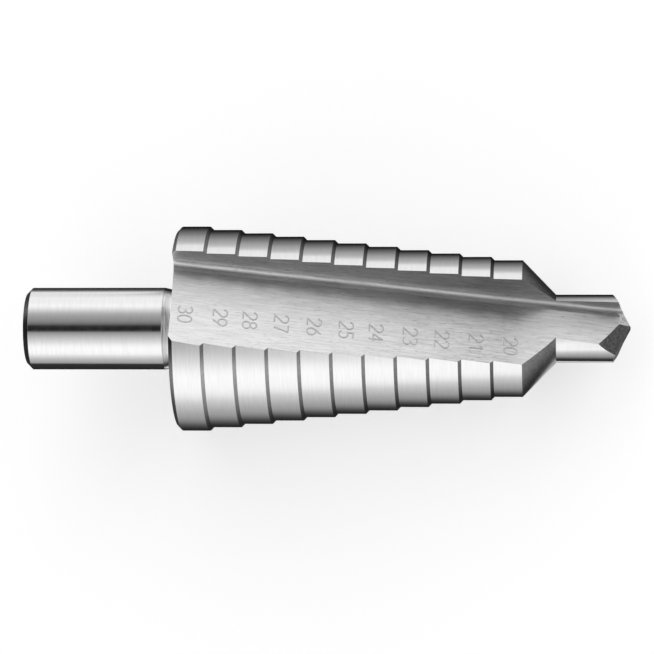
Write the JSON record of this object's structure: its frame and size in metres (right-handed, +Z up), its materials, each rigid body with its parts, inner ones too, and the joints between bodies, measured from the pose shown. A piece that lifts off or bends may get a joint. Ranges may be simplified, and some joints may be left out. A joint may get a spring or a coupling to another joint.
{
  "type": "step drill bit",
  "caption": "Step drill with a plain round shank, stepped body, pilot with a split point, and two straight flutes.",
  "frame": {"origin": "centre of the box's base, on the table that the drill lies on", "axes": "+Z up from the table, +X along the drill from its shank to its point, +Y across it"},
  "size_m": [0.0883, 0.0298, 0.0269],
  "materials": {
    "ground_steel": "ground bare tool steel, bright turned lands and brushed flutes"
  },
  "bodies": {
    "root": {"step_drill": "ground_steel"}
  },
  "joints": []
}
